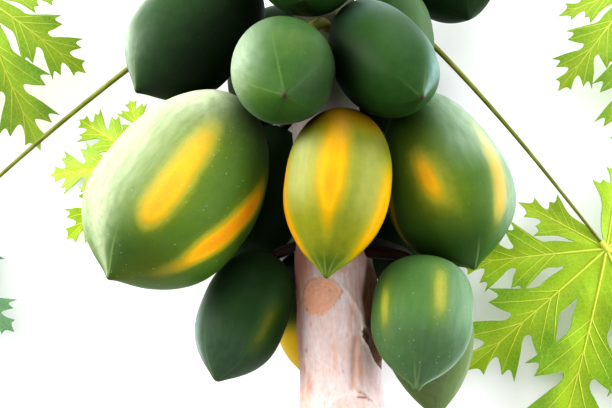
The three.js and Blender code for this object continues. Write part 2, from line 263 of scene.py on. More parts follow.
def photographed_marks(x, y, place):
    """What the photograph shows beside leaf scars: relief in mm, scar, pit with painted shade, pale rim and
    rust.
    """
    raised = pale = 0.0
    rough = noise.noise(place * CRUMBS)
    crumbs = noise.noise(place * FINEST_CRUMBS)
    for line, proud, wide in RIM_LINES:
        near = bell(off_line(unrolled(line), x, y) + 0.5 * rough, wide)
        raised += proud * near
        pale = max(pale, 0.28 * near * near)
    in_groove = bell(off_line(unrolled(GROOVE), x, y), GROOVE_WIDTH)
    raised -= GROOVE_DEPTH * in_groove
    rust = GROOVE_RUST * in_groove
    for *spot, proud in BULGES:
        raised += proud * near_spot(x, y, *spot)
    # Painted shade down the trunk's side beside a fruit, laid into the pit mask
    near, far, low, full, fading, high = PAINTED_SHADE_SIDE
    inward = x - PAINTED_SHADE_LEAN[1] * max(y - PAINTED_SHADE_LEAN[0], 0)
    pit_and_shade = smooth_step(near, far, inward) * smooth_step(low, full, y) * (1 - smooth_step(fading, high, y))
    for *spot, size in SPECKS:
        pit_and_shade = max(pit_and_shade, SPECK_DARKNESS * near_spot(x, y, *spot, size, size))
    for *spot, strength in RUST_PATCHES:
        rust = max(rust, strength * near_spot(x, y, *spot))
    depth = depth_in(unrolled(PIT), x, y) + 1.8 * rough + 0.8 * crumbs
    hole = smooth_step(0, PIT_DEPTH, depth)
    deep, pit_shade = smooth_step(*PIT_DEEPENS, x), smooth_step(*PIT_SHADE_DARKENS, x)
    fibres = noise.noise(Vector((x * 0.5 + y * 0.25, (y - x) * 0.06, 3)))
    on_rim = bell(depth + 1, 1.2)
    raised += 0.9 * on_rim - hole * ((0.35 + 0.65 * deep) * PIT_DEPTH - 1.8 * fibres)
    pit_and_shade = max(pit_and_shade, smooth_step(-0.2, 0.8, depth) * min(0.92 + 0.08 * pit_shade + 0.3 * fibres, 1))
    pale = max(pale, 0.8 * on_rim)
    knob = smooth_step(-0.5, 2, depth_in(unrolled(BUD_SCAR), x, y) + 0.5 * rough)
    raised += (BUD_HEIGHT + 0.8 * crumbs) * knob
    # Each crack is painted dark into the pit mask, partly as painted shade in it
    for crack, strength in CRACKS:
        near = strength * bell(off_line(unrolled(crack), x, y) + 0.3 * rough, CRACK_WIDTH)
        raised -= CRACK_DEPTH * near
        pit_and_shade = max(pit_and_shade, near)
    return raised, BUD_COLOUR * knob, pit_and_shade, pale, rust


def bark(turn, height, shields):
    """How far the bark stands out in mm, and how much scar, pit with painted shade, pale rim and rust it
    shows.
    """
    round_x, round_y = math.sin(math.radians(turn)), math.cos(math.radians(turn))
    place = Vector((round_x, round_y, height / NOISE_HEIGHT))
    raised = scar = pit_and_shade = pale = rust = 0.0
    left, right, low, high = MARKED_WINDOW
    if left < turn < right and low < height < high:
        raised, scar, pit_and_shade, pale, rust = photographed_marks(turn * MM_PER_DEGREE, height, place)
    for across, along, relief in BARK_WAVES:
        raised += relief * noise.noise(Vector((round_x * across, round_y * across, height / along)))
    for at_turn, at_height, size, strength in shields:
        x = ((turn - at_turn + 180) % 360 - 180) * MM_PER_DEGREE / size
        y = (height - at_height) / abs(size)
        if abs(x) > SHIELD_REACH[0] or abs(y) > SHIELD_REACH[1]:
            continue
        crumbs = noise.noise(place * CRUMBS) + 0.6 * noise.noise(place * FINE_CRUMBS)
        depth = depth_in(SHIELD, x, y) + 1.3 * crumbs
        body = smooth_step(-1.2, 1.2, depth)
        swirl = math.sin(1.5 * depth + 1.5 * noise.noise(place * 6)) * smooth_step(0, 3, depth)
        swirl *= smooth_step(-6, 10, y)
        raised += strength * ((0.8 + 0.22 * crumbs) * body + 0.5 * bell(depth - 0.5, 1.1) + 0.1 * swirl)
        raised -= strength * 0.2 * bell(depth + 1.6, 0.9)
        scar = max(scar, strength * body * (0.82 + 0.22 * swirl))
        pit_and_shade = max(pit_and_shade, 0.30 * strength * bell(depth + 0.2, 0.7) * smooth_step(0.1, 0.5, crumbs))
    return raised, scar, pit_and_shade, pale, rust


def set_attribute(mesh, name, values, kind="FLOAT"):
    """Stores a value a vertex, or one for them all, for the materials to read."""
    if isinstance(values, float):
        values = [values] * len(mesh.vertices)
    stored = mesh.attributes.new(name, kind, "POINT")
    stored.data.foreach_set("value" if kind == "FLOAT" else "vector", values)


def pick_parts(parts, kind, test):
    """Picks the edges or faces that pass a test, and stays in edit mode."""
    bpy.ops.object.mode_set(mode="EDIT")
    bpy.ops.mesh.select_mode(type=kind)
    bpy.ops.mesh.select_all(action="DESELECT")
    bpy.ops.object.mode_set(mode="OBJECT")
    for part in parts:
        part.select = test(part)
    bpy.ops.object.mode_set(mode="EDIT")


def make_trunk():
    """A cylinder, cut into rings, drawn out along the trunk and raised into its scars."""
    bpy.ops.mesh.primitive_cylinder_add(vertices=TRUNK_SIDES, radius=1, depth=2)
    trunk = bpy.context.object
    trunk.name = "trunk_bark"
    corners = trunk.data.vertices
    for cuts in TRUNK_CUTS:
        pick_parts(trunk.data.edges, "EDGE",
                   lambda edge: abs(corners[edge.vertices[0]].co.z - corners[edge.vertices[1]].co.z) > 1e-6)
        bpy.ops.mesh.subdivide(number_cuts=cuts)
        bpy.ops.object.mode_set(mode="OBJECT")
    shields = SHIELDS + list(spiral_shields())
    marks = []
    for vertex in trunk.data.vertices:
        share = (vertex.co.z + 1) / 2
        turn = math.degrees(math.atan2(vertex.co.y, vertex.co.x))
        raised, *shown = bark(turn, share * trunk_length / MM, shields)
        radius = trunk_radius(share) + raised * MM
        round_axis = Vector((math.sin(math.radians(turn)), 0, math.cos(math.radians(turn))))
        vertex.co = trunk_middle(share) + round_axis * radius
        marks.append((*shown, smooth_step(*YOUNG_AND_SHADED, vertex.co.y - foot.y)))
    for name, amounts in zip(("scar", "pit_and_shade", "pale_rim", "rust", "young"), zip(*marks)):
        set_attribute(trunk.data, name, amounts)
    bpy.ops.object.shade_smooth_by_angle(angle=CORNER_ANGLE)
    return trunk


def hollow_the_cuts(piece):
    """Each cut end is stepped in ring by ring: its size, then how far it stands out in mm."""
    for end, share in ((1, 1), (-1, 0)):
        pick_parts(piece.data.polygons, "FACE",
                   lambda face: len(face.vertices) == TRUNK_SIDES and face.normal.y * end > 0)
        size_before, out_before = 1.0, 0.0
        for size, out in CUT_STEPS:
            bpy.ops.mesh.inset(thickness=0, depth=0)
            ratio = size / size_before
            bpy.ops.transform.resize(value=(ratio, 1, ratio), center_override=trunk_middle(share))
            bpy.ops.transform.translate(value=(0, end * (out - out_before) * MM, 0))
            size_before, out_before = size, out
        bpy.ops.object.mode_set(mode="OBJECT")


trunk = make_trunk()
hollow_the_cuts(trunk)


def add_node(tree, kind, inputs=None, **settings):
    """A new node. Each input is a socket, a plain value or the name of what a mesh stores."""
    node = tree.nodes.new(kind)
    for name, value in settings.items():
        setattr(node, name, value)
    for name, value in (inputs or {}).items():
        if isinstance(value, str):
            value = attribute(tree, value)
        if hasattr(value, "is_linked"):
            tree.links.new(value, node.inputs[name])
        else:
            node.inputs[name].default_value = value
    return node


def attribute(tree, name, output="Fac"):
    """What a piece's mesh stores under a name."""
    return add_node(tree, "ShaderNodeAttribute", attribute_name=name).outputs[output]


def worked(tree, operation, *values):
    """The outcome of a sum."""
    return add_node(tree, "ShaderNodeMath", dict(enumerate(values)), operation=operation).outputs[0]


def noisy(tree, vector, scale, detail=2):
    """A soft random pattern between 0 and 1."""
    inputs = {"Vector": vector, "Scale": scale, "Detail": detail}
    return add_node(tree, "ShaderNodeTexNoise", inputs).outputs["Fac"]


def toned(tree, colour, value):
    """A colour made lighter or darker."""
    inputs = {"Color": colour, "Value": value}
    return add_node(tree, "ShaderNodeHueSaturation", inputs).outputs["Color"]


def make_mottling():
    """A group that makes a colour lighter and darker in soft patches of one size."""
    group = bpy.data.node_groups.new("mottling", "ShaderNodeTree")
    for name, kind in (("Color", "Color"), ("Vector", "Vector"), ("Scale", "Float"), ("Amount", "Float")):
        group.interface.new_socket(name, in_out="INPUT", socket_type="NodeSocket" + kind)
    group.interface.new_socket("Color", in_out="OUTPUT", socket_type="NodeSocketColor")
    given = add_node(group, "NodeGroupInput").outputs
    swing = worked(group, "SUBTRACT", noisy(group, given["Vector"], given["Scale"], 4), 0.5)
    value = worked(group, "MULTIPLY_ADD", swing, given["Amount"], 1)
    add_node(group, "NodeGroupOutput", {"Color": toned(group, given["Color"], value)})
    return group


mottling = make_mottling()


def mottled(tree, colour, vector, scale, amount):
    """A colour in lighter and darker patches."""
    inputs = {"Color": colour, "Vector": vector, "Scale": scale, "Amount": amount}
    return add_node(tree, "ShaderNodeGroup", inputs, node_tree=mottling).outputs["Color"]


def mixed(tree, share, first, second, blend="MIX"):
    """The colour between two colours."""
    inputs = {0: share, 6: first, 7: second}
    return add_node(tree, "ShaderNodeMix", inputs, data_type="RGBA", blend_type=blend).outputs[2]


def stretched(tree, vector, scale):
    """Coordinates for a pattern that runs one way."""
    return add_node(tree, "ShaderNodeMapping", {"Vector": vector, "Scale": scale}).outputs["Vector"]


def grey(value):
    """A grey for the stops of a mask."""
    return (value, value, value, 1)


def ramped(tree, value, stops):
    """A colour ramp over a value: its stops are (place, colour)."""
    node = add_node(tree, "ShaderNodeValToRGB", {"Fac": value})
    ramp = node.color_ramp
    while len(ramp.elements) < len(stops):
        ramp.elements.new(0.5)
    for element, (place, colour) in zip(ramp.elements, stops):
        element.position = place
        element.color = colour
    return node.outputs["Color"]


def painted(name, roughness, specular, paint):
    """A material with what a function paints: its colour, then its relief, how strong, how deep."""
    material, shader = new_material(name, roughness, specular)
    tree = material.node_tree
    here = add_node(tree, "ShaderNodeTexCoord").outputs["Object"]
    colour, *relief = paint(tree, here)
    tree.links.new(colour, shader.inputs["Base Color"])
    if relief:
        inputs = dict(zip(("Height", "Strength", "Distance"), relief))
        bump = add_node(tree, "ShaderNodeBump", inputs)
        tree.links.new(bump.outputs["Normal"], shader.inputs["Normal"])
    return material


BARK_TAN = (0.470, 0.335, 0.290, 1)
BARK_BLOOM = (0.620, 0.555, 0.570, 1)
BARK_RUST = (0.420, 0.158, 0.088, 1)
BARK_YOUNG_AND_SHADED = (0.075, 0.082, 0.042, 1)
SCAR_RUST = (0.560, 0.270, 0.155, 1)
PIT_BROWN_AND_SHADE = (0.100, 0.043, 0.017, 1)
RIM_PALE = (0.640, 0.520, 0.440, 1)
WOOD_CREAM = (0.70, 0.60, 0.40, 1)
PITH_PALE = (0.82, 0.76, 0.62, 1)


def streaks_along(tree, here, scale, stretch, low, high=1.0):
    """A soft mask of long streaks up the trunk."""
    streaks = noisy(tree, stretched(tree, here, (1, stretch, 1)), scale, 5)
    return ramped(tree, streaks, [(low, grey(0)), (high, grey(1))])


def bark_paint(tree, here):
    """Tan bark in long pale and rusty streaks, with rusty scars and dark pits, and painted shade in the
    pits and cracks, down the side beside a fruit and towards the top.
    """
    colour = mixed(tree, streaks_along(tree, here, 46, 0.22, 0.2, 0.8), BARK_TAN, BARK_BLOOM)
    colour = mixed(tree, streaks_along(tree, here, 120, 0.16, 0.56), colour, SCAR_RUST)
    colour = mixed(tree, streaks_along(tree, here, 420, 0.2, 0.58), colour, BARK_RUST)
    colour = mottled(tree, colour, stretched(tree, here, (1, 0.5, 1)), 240, 0.5)
    colour = mixed(tree, "rust", colour, BARK_RUST)
    # Towards the top the bark turns young green, painted darker as the shade behind the fruit
    colour = mixed(tree, "young", colour, BARK_YOUNG_AND_SHADED)
    colour = mottled(tree, colour, here, 24, 0.34)
    colour = mixed(tree, "scar", colour, mottled(tree, SCAR_RUST, here, 180, 0.6))
    colour = mixed(tree, "pale_rim", colour, RIM_PALE)
    # The pit mask paints the dark pits, cracks and specks, and painted shade in the pits and cracks and
    # down the side beside a fruit
    pit_and_shade_colour = mottled(tree, PIT_BROWN_AND_SHADE, stretched(tree, here, (1, 0.25, 1)), 260, 2.2)
    colour = mixed(tree, "pit_and_shade", colour, pit_and_shade_colour)
    return colour, noisy(tree, stretched(tree, here, (1, 0.2, 1)), 700, 6), 0.45, 0.5 * MM


def wood_paint(tree, here):
    """The sawn face: cream fibre with darker pores."""
    pores = add_node(tree, "ShaderNodeTexVoronoi", {"Vector": here, "Scale": 420}).outputs["Distance"]
    colour = ramped(tree, pores, [(0.05, WOOD_CREAM), (0.6, PITH_PALE)])
    return mottled(tree, colour, here, 60, 0.35), pores, 0.5, 0.6 * MM


trunk.data.materials.append(painted("bark", 0.78, 0.25, bark_paint))
trunk.data.materials.append(painted("cut_wood", 0.8, 0.5, wood_paint))
for face in trunk.data.polygons:
    inner = foot.y + CUT_DEPTHS[0] < face.center.y < trunk_top - CUT_DEPTHS[1]
    at_end = abs(face.normal.y) > 0.3 and not inner
    face.material_index = 1 if at_end or len(face.vertices) == TRUNK_SIDES else 0
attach(trunk, "root")
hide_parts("trunk")

# Fruit
# Each papaya is a smooth waxy berry, blunt at the stalk and drawn out to a nipple with a brown
# scar where the flower was. Five low ridges run to that tip, and ripening starts in stripes.
GLOBE_SIDES = 120
GLOBE_RINGS = 72
FLUTES = 5  # the rind sinks in between as many low ridges
RIDGE_CROWDING = 0.11  # how far the mesh lines are drawn towards the ridges
WIDEST_AT = 0.46
FLUTE_DEPTH = 0.05  # how far the rind sinks between the ridges at the tip
FLUTE_FADE = 4
# Sizes in mm
NECK_LENGTH = 13
RIDGE_HEIGHT, RIDGE_WIDTH = 0.9, 1.1
TROUGH_DEPTH, TROUGH_WIDTH = 1.2, 6.5  # the soft dip that a ridge stands in
TIP_RADIUS = 9  # nearer the axis, ridges and lumps fade away
LUMP_DEPTH = 1.3
RAY_LENGTH, SCAR_RADIUS = 5, 3  # where the flower scar's size is 1
# Shares and counts
LUMP_CROWDING = 22  # a metre
RAY_COUNT = 9
RAY_STRENGTH = 0.85
RIDGES_FULL = 0.98  # where the ridges at the tip are full
STALK_RIPENESS, TIP_RIPENESS = (0.04, 0.26), (0.66, 1.0)  # where an end's own ripeness fades or grows
STALK_SHADE = (0.04, 0.24)
SOFT_SHARE = 0.12  # of a stripe, which fades slowly past its edge
MARKS = ("ripeness", "ridge", "tone_and_painted_shade", "bloom_and_sheen", "flower_scar", "specks", "cool")
USUAL_LOOK = dict(
    fullness=2.6, shoulder=2.4,  # of the profile, on either side of the widest place
    belly=(0, 0),  # how far the middle bends off the line from stalk to tip, in mm
    ridges=0, ridge_count=5, ridged=0.3,  # turn of the first ridge, how many, how strong
    twin=0,  # turn between the two crests of each ridge
    ridge_from=0.82, shown=(1, 1, 1, 1, 1),  # share where the ridges begin, strength of each
    neck=0.16, nose=4.4,  # how pinched the tip is, and its radius in mm
    base=0.06, stalk_end=0, tip_end=0,  # ripeness
    tone_and_painted_shade=0.8, stalk_shaded_tone=0.9,  # brightness, partly painted shade, and the share of it left at the stalk end, dimmed by painted shade
    rays=0, specks=0.10, scar=0.6,  # creases at the flower scar, pale specks, size of that scar
    cool=0.35,  # how blue the waxy bloom and its painted sky reflection are
    stripes=[], bloom_and_sheen=[], painted_shade_and_tone=[],
)
# Each stripe of ripeness, of waxy bloom with painted sheen, or of painted shade and tone is its turn, or
# the turns where it starts and ends, its half width in degrees, then where it starts, is full, begins to
# fade and ends as shares of the length from the stalk, and its amount. A turn is 0 at the front and grows
# to the right.
FRUIT = {
    "ripe_front": dict(
        fullness=2.4, ridges=-12, ridge_count=12, ridged=0.9, ridge_from=0.84, neck=0.1, base=0.33,
        tone_and_painted_shade=0.88, cool=0, stalk_end=0.26, stalk_shaded_tone=0.5, tip_end=-0.02,
        stripes=[(-8, -7, 15, 0, 0.32, 0.48, 0.74, 0.34), (-8, -7, 8, 0.4, 0.56, 0.64, 0.9, 0.22),
                 (70, 64, 17, 0.22, 0.58, 0.78, 0.96, 0.34), (-86, -76, 14, 0.28, 0.46, 0.8, 0.98, 0.4),
                 (136, 138, 14, 0.1, 0.3, 0.8, 0.95, 0.34), (-152, -156, 14, 0.1, 0.3, 0.8, 0.95, 0.34),
                 (16, 14, 8, 0.15, 0.3, 0.6, 0.8, -0.03), (0, 60, 0.82, 0.97, 1.1, 1.2, -0.06)],
        bloom_and_sheen=[(-48, -52, 20, 0.2, 0.32, 0.5, 0.76, 0.17), (30, 18, 0.2, 0.36, 0.6, 0.8, 0.06)],
        painted_shade_and_tone=[(-56, -58, 14, 0, 0.1, 0.22, 0.3, -0.35), (0, 200, -0.4, -0.3, 0.14, 0.42, -0.54),
                (0, 60, 0.82, 0.97, 1.1, 1.2, -0.12)]),
    "big_left": dict(
        fullness=3.4, shoulder=1.8, belly=(0, -10), ridges=-3, twin=-18, ridged=1, ridge_from=0.8,
        shown=(1, 0, 0.6, 0.6, 0), base=0.14, tone_and_painted_shade=1, specks=0.8, neck=0.2, cool=0, scar=1.2,
        stripes=[(14, 17, 9, 0.14, 0.5, 0.72, 0.86, 0.4), (13, 16, 13.5, 0.48, 0.62, 0.72, 0.86, 0.12),
                 (18, 16, 24, 0.02, 0.35, 0.72, 0.92, 0.08), (-4, 22, 0.1, 0.3, 0.45, 0.7, 0.05),
                 (84, 62, 9.5, 0.18, 0.46, 0.64, 0.84, 0.66), (65, 70, 8, 0.62, 0.78, 0.78, 0.94, 0.3),
                 (-74, -66, 9, 0.3, 0.5, 0.75, 0.9, 0.1), (66, 34, 0.74, 0.88, 1, 1.1, 0.13),
                 (160, 12, 0.2, 0.4, 0.7, 0.9, 0.5), (-130, 10, 0.2, 0.4, 0.7, 0.9, 0.3)],
        bloom_and_sheen=[(-34, -42, 35, -0.1, 0.1, 0.6, 1, 0.47), (-84, 28, 0, 0.2, 0.8, 1, 0.32),
               (-34, 18, 0.66, 0.88, 1, 1.1, 0.34), (-20, 44, -0.4, 0, 0.12, 0.36, 0.36)],
        painted_shade_and_tone=[(14, 10, 26, 0.8, 0.92, 0.97, 1.05, -0.3), (64, 36, 0.74, 0.9, 1, 1.1, -0.4)]),
    "big_right": dict(
        fullness=2.2, shoulder=1.7, belly=(9, -24), ridges=8, ridged=1, ridge_from=0.76, base=0.13,
        tone_and_painted_shade=0.88, cool=0.45, specks=0.15,
        stripes=[(-29, -20, 7.5, 0.24, 0.39, 0.42, 0.58, 0.38),
                 (-33, -14, 26, 0.02, 0.36, 0.5, 0.8, 0.19), (-18, 2, 12, 0.44, 0.6, 0.7, 0.92, 0.03),
                 (52, 31, 11, 0.08, 0.38, 0.62, 0.86, 0.4), (-66, -98, 6, 0.3, 0.45, 0.7, 0.8, 0.4),
                 (120, 116, 11, 0.2, 0.4, 0.7, 0.9, 0.45)],
        bloom_and_sheen=[(78, 62, 27, -0.1, 0.2, 0.6, 0.9, 0.45), (38, 34, 30, -0.4, -0.1, 0.28, 0.48, 0.3)],
        painted_shade_and_tone=[(-80, -70, 34, 0.2, 0.4, 1, 1.1, -0.25), (-14, 0, 36, 0.62, 0.8, 1, 1.1, -0.3),
                (-27, -20, 14, 0.2, 0.38, 0.46, 0.66, 0.12)]),
    "low_left": dict(
        fullness=3.2, ridges=-38, ridged=0.45, ridge_from=0.6, shown=(1, 0.35, 0.3, 0.3, 1), neck=0.04,
        nose=6, tone_and_painted_shade=0.44, specks=0.05, cool=0.7,
        stripes=[(43, 36, 11.5, 0.26, 0.48, 0.62, 0.84, 0.26)],
        bloom_and_sheen=[(-86, -74, 22, -0.1, 0.2, 0.8, 1, 0.45), (0, 70, 0.5, 0.8, 1, 1.1, 0.04)]),
    "low_right": dict(
        fullness=2.4, shoulder=3.4, ridges=-12, ridged=0.7, ridge_from=0.76, twin=11, neck=0.42, nose=5.2,
        shown=(1, 0.8, 0.4, 0.4, 0.4), base=0.12, tone_and_painted_shade=1.08, specks=0.6, cool=0.6,
        stripes=[(-54, -50, 9, 0.12, 0.42, 0.46, 0.8, 0.26), (13, 15, 11, 0, 0.3, 0.4, 0.68, 0.25)],
        bloom_and_sheen=[(60, 56, 30, -0.1, 0.1, 0.35, 0.8, 0.2), (86, 18, 0.2, 0.4, 1, 1.1, 0.3),
               (0, 150, 0.4, 0.7, 1.1, 1.2, 0.03), (0, 150, -0.4, -0.2, 1.1, 1.2, 0.04)],
        painted_shade_and_tone=[(-90, 22, -0.2, 0, 0.4, 0.7, -0.4), (10, 150, 0.44, 0.7, 1.1, 1.2, -0.34)]),
    "low_right_rear": dict(
        fullness=2.2, ridges=4, base=0.22, cool=0.2,
        bloom_and_sheen=[(80, 26, 0.1, 0.3, 0.8, 1, 0.25), (0, 60, 0.4, 0.6, 1.1, 1.2, 0.1)],
        painted_shade_and_tone=[(0, 30, 0.4, 0.6, 0.9, 1.1, -0.3)]),
    "high_left": dict(
        fullness=3.5, ridges=-26, ridged=0.5, ridge_from=0.7, shown=(1, 0, 0.6, 0.6, 0.6), base=0.04,
        tone_and_painted_shade=0.72, cool=0.4, specks=0.08,
        bloom_and_sheen=[(-88, -70, 27, -0.2, 0.1, 0.8, 1, 0.44), (-50, 26, 0.7, 0.86, 1, 1.1, 0.25)],
        painted_shade_and_tone=[(54, 62, 62, -0.2, 0.1, 1, 1.1, -0.78)]),
    "high_front": dict(
        fullness=2.3, ridges=-13, ridged=0.35, ridge_from=0.5, shown=(1, 0.2, 0.2, 0.2, 0.8),
        neck=0.06, nose=3.6, base=0.1, tone_and_painted_shade=0.84, rays=1, scar=1.1, specks=0.12,
        stripes=[(-92, -90, 24, 0.2, 0.5, 0.8, 0.98, 0.08), (10, 34, 0.5, 0.7, 0.75, 0.9, 0.05)],
        bloom_and_sheen=[(-76, -70, 38, -0.1, 0.1, 0.6, 0.9, 0.42), (180, 50, 0.3, 0.45, 0.6, 0.8, 0.24),
               (0, 180, -0.4, -0.2, 0.9, 1.1, 0.02)],
        painted_shade_and_tone=[(80, 40, 0.3, 0.5, 0.9, 1.1, -0.3), (120, 50, 0.5, 0.6, 0.8, 1, -0.26)]),
    "high_right": dict(
        fullness=2.5, shoulder=2.1, belly=(0, -12), ridges=30, ridged=0.4, neck=0.06,
        shown=(1, 0.3, 0.3, 0.3, 0.5), tone_and_painted_shade=0.7, rays=1, scar=0.8, cool=0.9, specks=0.06,
        stripes=[(-30, 30, 0.3, 0.5, 0.7, 0.9, 0.03)],
        bloom_and_sheen=[(84, 74, 30, -0.3, -0.1, 0.6, 0.9, 0.56), (64, 20, 0.66, 0.84, 1, 1.1, 0.36),
               (36, 30, 50, -0.3, 0, 0.22, 0.5, 0.2)],
        painted_shade_and_tone=[(-92, -84, 56, -0.3, -0.1, 0.5, 0.9, -0.88)]),
    "top_front": dict(fullness=2.4, ridges=10, tone_and_painted_shade=0.5, ridged=0.1),
    "top_right": dict(ridges=30, base=0.09, tone_and_painted_shade=0.75, bloom_and_sheen=[(50, 40, 0, 0.3, 0.8, 1, 0.1)]),
    "top_far_right": dict(base=0.03, tone_and_painted_shade=0.35, ridged=0.1),
    "ripe_rear": dict(
        ridges=-20, base=0.5, tone_and_painted_shade=0.78, stalk_end=-0.46, stalk_shaded_tone=0.4,
        stripes=[(-6, 16, 0.3, 0.5, 0.8, 0.95, 0.2), (140, 16, 0.1, 0.3, 0.8, 0.9, 0.2),
                 (0, 150, -0.4, -0.3, 0.36, 0.58, -0.35)],
        painted_shade_and_tone=[(0, 150, -0.4, -0.3, 0.4, 0.6, -0.85)]),
    # The fruits at the back are darkened with painted shade from the fruit round them
    "rear_left": dict(ridges=8, tone_and_painted_shade=0.3, stripes=[(170, 10, 0.2, 0.4, 0.7, 0.9, 0.45)]),
    "rear_right": dict(ridges=-8, tone_and_painted_shade=0.3, stripes=[(-168, 10, 0.2, 0.4, 0.7, 0.9, 0.35)]),
    "rear_middle": dict(ridges=14, tone_and_painted_shade=0.3),
    "high_rear_left": dict(ridges=-12, tone_and_painted_shade=0.3),
    "high_rear_right": dict(ridges=20, tone_and_painted_shade=0.3),
}


def fruit_ends(node):
    """The stalk end and the tip of a fruit's node, its two farthest corners."""
    places = {tuple(round(c, 6) for c in vertex.co) for vertex in node.data.vertices}
    places = [Vector(place) for place in places]
    middle = sum(places, Vector()) / len(places)
    one = max(places, key=lambda place: (place - middle).length)
    other = max(places, key=lambda place: (place - one).length)
    return (one, other) if one.y > other.y else (other, one)


def fruit_half_width(node, top, tip, belly):
    """The radius of the fruit's widest ring, about its own middle."""
    axis = (tip - top).normalized()
    widest = 0
    for vertex in node.data.vertices:
        gone = vertex.co - top
        share = gone.dot(axis) / (tip - top).length
        middle = top + axis * gone.dot(axis) + belly * math.sin(share * math.pi)
        widest = max(widest, (vertex.co - middle).length)
    return widest


def fruit_profile(share, fullness, shoulder):
    """Share of the half width at a share of the length from the stalk."""
    if share < WIDEST_AT:
        return math.sqrt(max(1 - (1 - share / WIDEST_AT) ** shoulder, 0))
    return 1 - ((share - WIDEST_AT) / (1 - WIDEST_AT)) ** fullness


def striped(stripes, turn, share):
    """What a fruit's stripes add up to at a place."""
    total = 0.0
    for *turns, half_width, start, full, fading, end, amount in stripes:
        reach = min(max((share - start) / (end - start), 0), 1)
        drift = (turns[-1] - turns[0]) * reach
        off = abs((turn - turns[0] - drift + 180) % 360 - 180) / half_width
        swell = smooth_step(start, full, share) * (1 - smooth_step(fading, end, share))
        profile = (1 - SOFT_SHARE) * math.exp(-(off ** 2.5)) + SOFT_SHARE * math.exp(-off / 2)
        total += amount * swell * profile
    return total


def ripening(look, turn, share):
    """How ripe the rind is at a place: its own state, raised by its stripes and towards its ends."""
    ripe = look["base"] + striped(look["stripes"], turn, share)
    ripe += look["stalk_end"] * (1 - smooth_step(*STALK_RIPENESS, share))
    return ripe + look["tip_end"] * smooth_step(*TIP_RIPENESS, share)


def make_fruit(name, look):
    """A globe, drawn out to the fruit's profile, ridged towards the tip and set on its stalk."""
    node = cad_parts["fruit_" + name]
    top, tip = fruit_ends(node)
    belly = Vector((*look["belly"], 0)) * MM
    half_width = fruit_half_width(node, top, tip, belly) / MM
    length = (tip - top).length / MM
    axis = (tip - top).normalized()
    side = (Vector((1, 0, 0)) - axis * axis.x).normalized()
    front = axis.cross(side)
    count = look["ridge_count"]
    spread = 2 * math.pi / count
    bpy.ops.mesh.primitive_uv_sphere_add(segments=GLOBE_SIDES, ring_count=GLOBE_RINGS, radius=1)
    fruit = bpy.context.object
    fruit.name = "papaya_" + name
    growth = []
    marks = []
    for vertex in fruit.data.vertices:
        share = (1 - vertex.co.z) / 2
        step = math.atan2(vertex.co.y, vertex.co.x)
        on_axis = math.hypot(vertex.co.x, vertex.co.y) < 1e-5
        past_ridge = step - RIDGE_CROWDING * math.sin(FLUTES * step)
        turn = past_ridge + math.radians(look["ridges"])
        plain = half_width * fruit_profile(share, look["fullness"], look["shoulder"])
        from_tip = (1 - share) * length
        radius = plain * (1 - look["neck"] * bell(from_tip, NECK_LENGTH))
        radius *= 1 - FLUTE_DEPTH * share ** FLUTE_FADE * (1 - math.cos(FLUTES * past_ridge)) / 2
        off_ridge = ((past_ridge + spread / 2) % spread - spread / 2) * radius
        off_twin = off_ridge - math.radians(look["twin"]) * radius
        nearest = look["shown"][round(past_ridge / spread) % count % len(look["shown"])]
        near_tip = smooth_step(look["ridge_from"], RIDGES_FULL, share) * look["ridged"] * nearest
        near_tip *= min(radius / TIP_RADIUS, 1)
        crest = max(bell(off_ridge, RIDGE_WIDTH), bell(off_twin, RIDGE_WIDTH)) * near_tip
        radius += RIDGE_HEIGHT * crest - TROUGH_DEPTH * bell(off_ridge, TROUGH_WIDTH) * near_tip
        direction = side * math.sin(turn) + front * math.cos(turn)
        along = axis * share * length * MM
        lumps = noise.noise((direction * radius * MM + along) * LUMP_CROWDING + top * 9)
        radius -= LUMP_DEPTH * (0.5 + 0.5 * lumps) * min(radius / TIP_RADIUS, 1)
        nose = look["nose"]
        cap = nose * math.sqrt(max(1 - (1 - min(from_tip / nose, 1)) ** 2, 0))
        radius = 0 if on_axis else (max(radius, 0) ** 3 + cap ** 3) ** (1 / 3)
        vertex.co = top + along + belly * math.sin(share * math.pi) + direction * radius * MM
        growth.extend((math.sin(turn) * plain * MM, math.cos(turn) * plain * MM, from_tip * MM))
        degrees = math.degrees(turn)
        from_scar = math.hypot(plain, from_tip) / look["scar"]
        rays = look["rays"] * max(math.cos(RAY_COUNT * step), 0) ** 3
        rays *= bell(from_scar - RAY_LENGTH, RAY_LENGTH)
        # Painted shade: the rows of painted shade and the stalk end dim the fruit's tone
        at_stalk = 1 - smooth_step(*STALK_SHADE, share)
        tone_and_painted_shade = look["tone_and_painted_shade"] * (1 + striped(look["painted_shade_and_tone"], degrees, share))
        tone_and_painted_shade *= 1 - (1 - look["stalk_shaded_tone"]) * at_stalk
        flower_scar = max(bell(from_scar, SCAR_RADIUS) ** 2, RAY_STRENGTH * rays)
        marks.append((ripening(look, degrees, share), crest, tone_and_painted_shade, striped(look["bloom_and_sheen"], degrees, share),
                      flower_scar, look["specks"], look["cool"]))
    set_attribute(fruit.data, "growth", growth, "FLOAT_VECTOR")
    for kind, amounts in zip(MARKS, zip(*marks)):
        set_attribute(fruit.data, kind, amounts)
    bpy.ops.object.shade_smooth()
    return fruit


